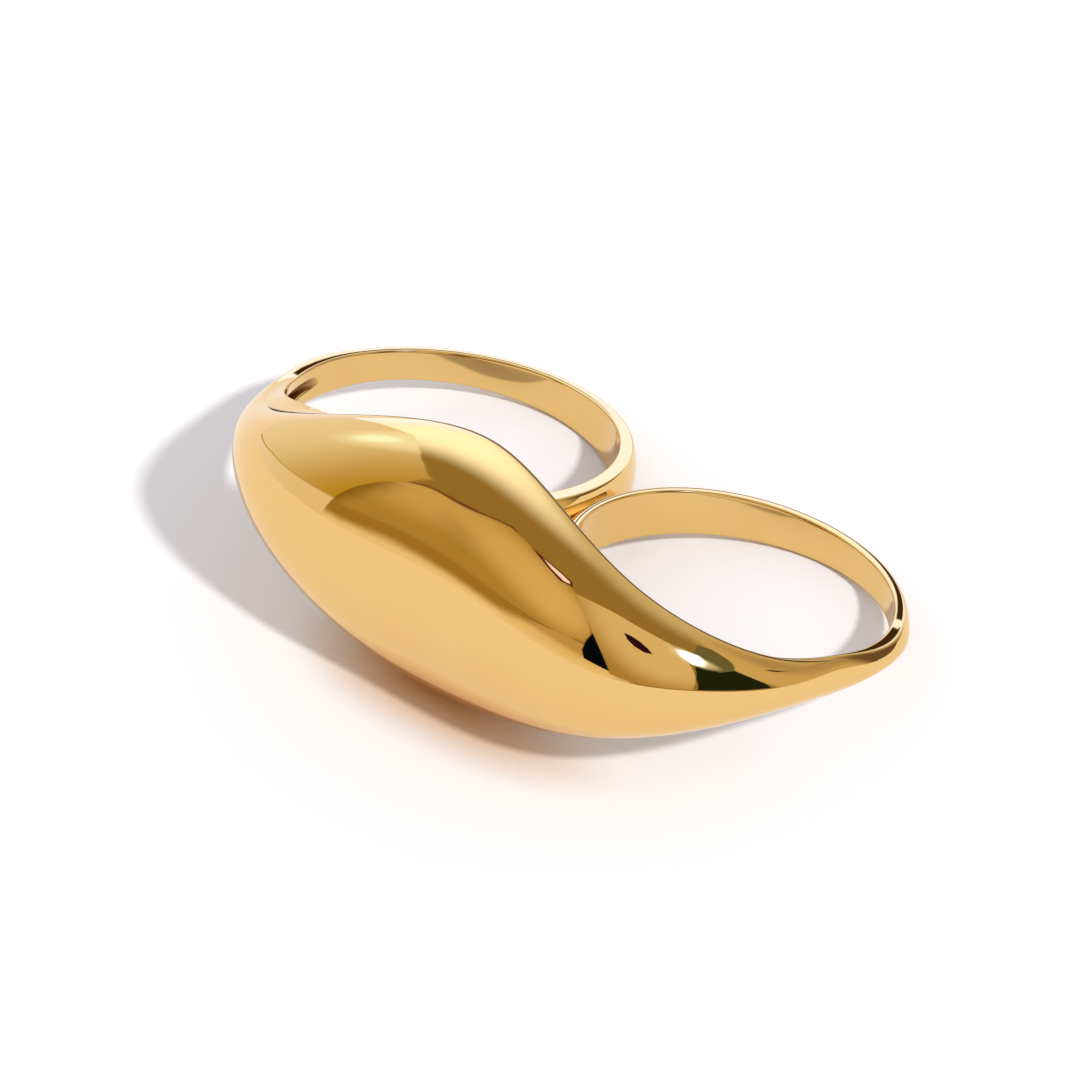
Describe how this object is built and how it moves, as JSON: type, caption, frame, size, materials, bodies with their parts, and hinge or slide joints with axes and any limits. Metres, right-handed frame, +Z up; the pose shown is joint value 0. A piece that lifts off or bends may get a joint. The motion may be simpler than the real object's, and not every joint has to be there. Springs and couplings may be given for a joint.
{
  "type": "double ring",
  "caption": "Two-finger ring in polished gold-tone metal: two slim bands side by side, joined by one hollow teardrop dome that sweeps across both.",
  "frame": {"origin": "centre of the bounding box's base, on the surface that the ring rests on", "axes": "+Z up from the surface; -Y towards the dome's front; -X towards the larger band, +X towards the smaller band"},
  "size_m": [0.0364, 0.0222, 0.0132],
  "materials": {
    "gold": "mirror-polished yellow gold plating"
  },
  "bodies": {
    "root": {"double_ring": "gold"}
  },
  "joints": []
}
